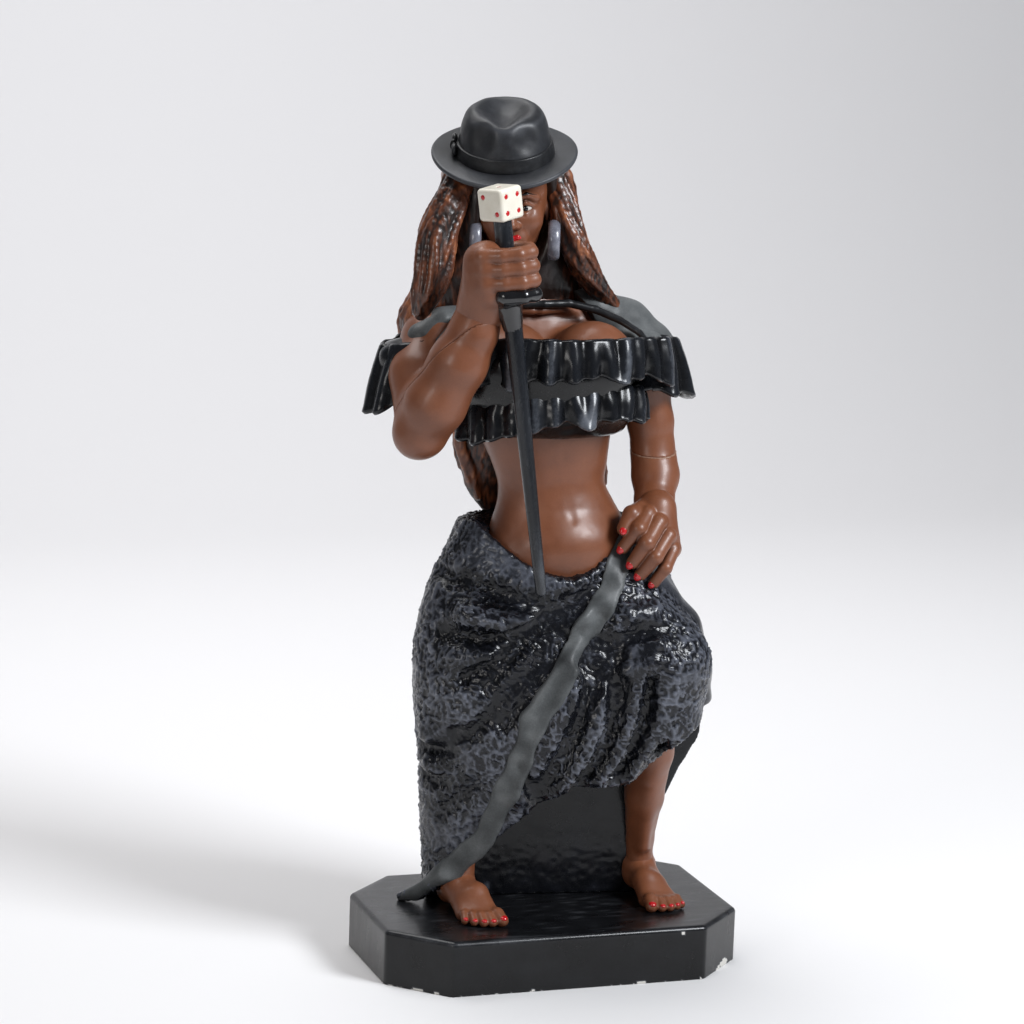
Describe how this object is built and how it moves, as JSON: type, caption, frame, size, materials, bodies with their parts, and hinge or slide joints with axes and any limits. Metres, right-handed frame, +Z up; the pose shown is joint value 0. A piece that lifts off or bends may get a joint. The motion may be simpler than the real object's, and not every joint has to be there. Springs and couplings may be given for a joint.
{
  "type": "painted plaster figure",
  "caption": "Cast plaster figure of a dancer in a hat, ruffled blouse and wrapped skirt, holding a cane topped with a die, on a chamfered plinth.",
  "frame": {"origin": "centre of the plinth's underside, on the surface it stands on", "axes": "+Z up, -Y the way the figure and its feet face, +X towards the figure's left hand"},
  "size_m": [0.1788, 0.1127, 0.399],
  "materials": {
    "plinth_paint": "black gloss paint over cast plaster, brushed on by hand, chipped to white along the lower edge",
    "skin_paint": "warm brown paint over cast plaster under a semi-gloss varnish",
    "cloth_paint": "black paint over cast plaster, dry-brushed with silver grey on the raised lace pattern",
    "border_paint": "smooth charcoal grey paint with a satin varnish",
    "hair_paint": "dark brown paint with copper highlights on the strands, glossy",
    "hat_paint": "charcoal paint, satin",
    "silver_paint": "silver grey paint, glossy",
    "cane_paint": "black gloss paint",
    "die_paint": "cream white with crimson pips",
    "rod_steel": "plain drawn steel rod"
  },
  "bodies": {
    "figure": {"plinth": "plinth_paint", "right_foot": "skin_paint", "left_foot": "skin_paint", "right_leg": "skin_paint", "left_leg": "skin_paint", "left_thigh": "skin_paint", "torso": "skin_paint", "neck": "skin_paint", "head": "skin_paint", "right_forearm": "skin_paint", "right_upper_arm": "skin_paint", "left_forearm": "skin_paint", "left_upper_arm": "skin_paint", "right_hand": "skin_paint", "left_hand": "skin_paint", "skirt_wrap": "cloth_paint", "skirt_drape": "cloth_paint", "skirt_back": "cloth_paint", "blouse": "cloth_paint", "lower_ruffle": "cloth_paint", "upper_ruffle": "cloth_paint", "right_sleeve": "cloth_paint", "left_sleeve": "cloth_paint", "skirt_border": "border_paint", "left_yoke": "border_paint", "right_straps": "border_paint", "back_hair": "hair_paint", "left_lock": "hair_paint", "right_lock": "hair_paint", "hat_crown": "hat_paint", "hat_brim": "hat_paint", "hat_band": "hat_paint", "hat_bow": "hat_paint", "right_earring": "silver_paint", "left_earring": "silver_paint", "right_leg_rod": "rod_steel", "left_leg_rod": "rod_steel", "spine_rod": "rod_steel", "right_arm_wire": "rod_steel", "left_arm_wire": "rod_steel"},
    "cane": {"cane_shaft": "cane_paint", "die": "die_paint"}
  },
  "joints": [
    {"name": "cane_lift", "type": "slide", "parent": "figure", "child": "cane", "axis": [-0.1539, -0.0342, 0.9875], "range_m": [0, 0.165]}
  ]
}
